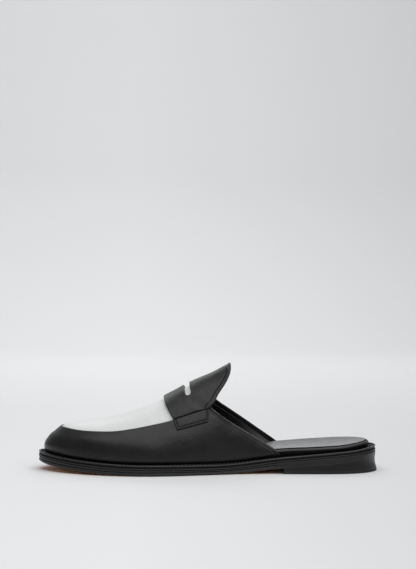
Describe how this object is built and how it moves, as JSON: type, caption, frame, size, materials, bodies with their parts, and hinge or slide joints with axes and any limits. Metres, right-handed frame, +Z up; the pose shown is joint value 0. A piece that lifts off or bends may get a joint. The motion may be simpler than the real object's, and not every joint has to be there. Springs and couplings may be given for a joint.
{
  "type": "backless penny loafer",
  "caption": "Backless slip-on penny loafer for the left foot: closed toe, slotted saddle with a raised tongue, light vamp inlay, open heel, welted leather sole on a low stacked heel.",
  "frame": {"origin": "on the floor, under the middle of the shoe's bounding box", "axes": "+X from the heel to the toe, +Y to the wearer's left, which is the shoe's outer side, +Z up"},
  "size_m": [0.3028, 0.1082, 0.0951],
  "materials": {
    "black_calf": "smooth black calf, satin, with soft broad highlights",
    "white_calf": "smooth off-white calf with a faint grain",
    "sock_leather": "matt black lining leather",
    "footbed_leather": "black leather wrapped round the footbed's edge",
    "sole_edge": "burnished black sole and heel edge",
    "sole_leather": "tan leather sole, its edge burnished black",
    "heel_rubber": "matt black rubber top lift"
  },
  "bodies": {
    "root": {"outsole": "sole_leather", "midsole": "sole_edge", "welt": "sole_edge", "heel_block": "sole_edge", "top_lift": "heel_rubber", "footbed": "footbed_leather", "sock": "sock_leather", "upper": "black_calf", "vamp_plug": "white_calf", "saddle": "black_calf", "tab_lateral": "black_calf", "tab_medial": "black_calf"}
  },
  "joints": []
}
